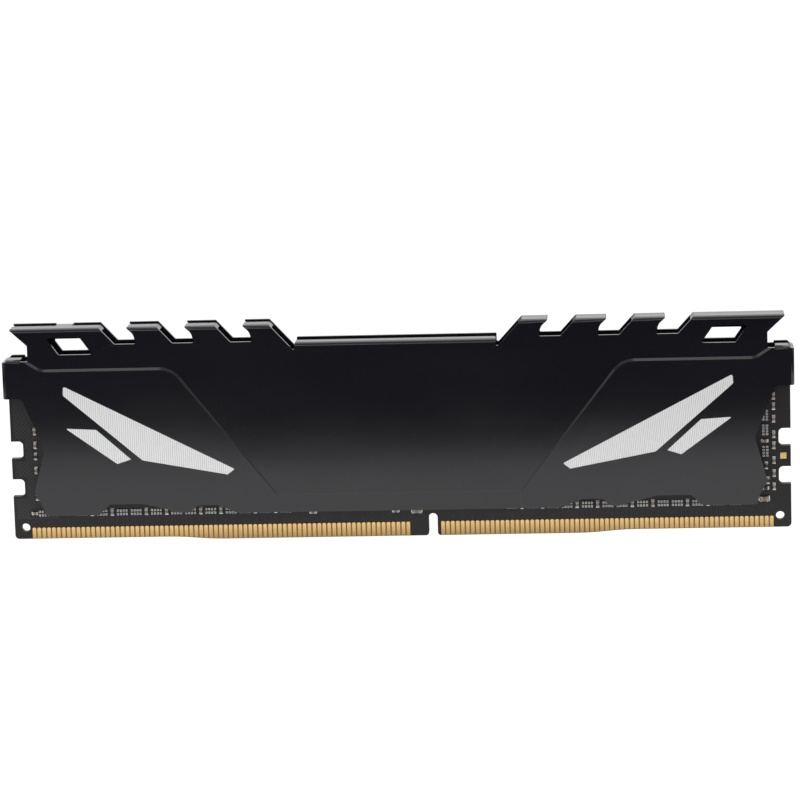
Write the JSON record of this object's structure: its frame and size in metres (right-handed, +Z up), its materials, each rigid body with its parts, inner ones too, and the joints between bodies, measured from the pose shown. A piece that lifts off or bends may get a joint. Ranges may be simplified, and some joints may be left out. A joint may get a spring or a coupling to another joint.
{
  "type": "ram module",
  "caption": "Desktop memory module: a keyed card with gold edge contacts under a black two-piece heat spreader with a toothed top edge and bright hatched marks.",
  "frame": {"origin": "on the card's mid-plane, halfway along it, at its lowest edge", "axes": "+X along the card from its first contact, +Y towards the back, +Z up out of the socket"},
  "size_m": [0.1346, 0.0064, 0.0376],
  "materials": {
    "spreader_coating": "satin black anodised aluminium sheet",
    "thermal_pad": "soft grey silicone",
    "chip_mould": "fine matte moulding compound",
    "gold_plating": "gold-plated copper, satin",
    "capacitor_ceramic": "fired ceramic with tinned ends",
    "resistor_ceramic": "black glazed resistor with tinned ends",
    "solder_mask": "semi-gloss black solder mask over glass-fibre laminate"
  },
  "bodies": {
    "root": {"back_chip_decoupling_capacitors": "capacitor_ceramic", "back_contacts": "gold_plating", "back_data_capacitors": "capacitor_ceramic", "back_data_resistor_arrays": "resistor_ceramic", "back_edge_capacitors": "capacitor_ceramic", "back_heat_spreader": "spreader_coating", "back_memory_chip_1": "chip_mould", "back_memory_chip_2": "chip_mould", "back_memory_chip_3": "chip_mould", "back_memory_chip_4": "chip_mould", "back_memory_chip_5": "chip_mould", "back_memory_chip_6": "chip_mould", "back_memory_chip_7": "chip_mould", "back_memory_chip_8": "chip_mould", "back_thermal_pad": "thermal_pad", "bulk_capacitors": "capacitor_ceramic", "circuit_board": "solder_mask", "front_chip_decoupling_capacitors": "capacitor_ceramic", "front_contacts": "gold_plating", "front_data_capacitors": "capacitor_ceramic", "front_data_resistor_arrays": "resistor_ceramic", "front_heat_spreader": "spreader_coating", "front_memory_chip_1": "chip_mould", "front_memory_chip_2": "chip_mould", "front_memory_chip_3": "chip_mould", "front_memory_chip_4": "chip_mould", "front_memory_chip_5": "chip_mould", "front_memory_chip_6": "chip_mould", "front_memory_chip_7": "chip_mould", "front_memory_chip_8": "chip_mould", "front_thermal_pad": "thermal_pad", "left_edge_capacitors": "capacitor_ceramic", "left_edge_resistors": "resistor_ceramic", "middle_capacitors": "capacitor_ceramic", "right_edge_capacitors": "capacitor_ceramic", "spd_chip": "chip_mould", "termination_resistor_arrays": "resistor_ceramic", "termination_resistors": "resistor_ceramic", "test_pad": "gold_plating"}
  },
  "joints": []
}
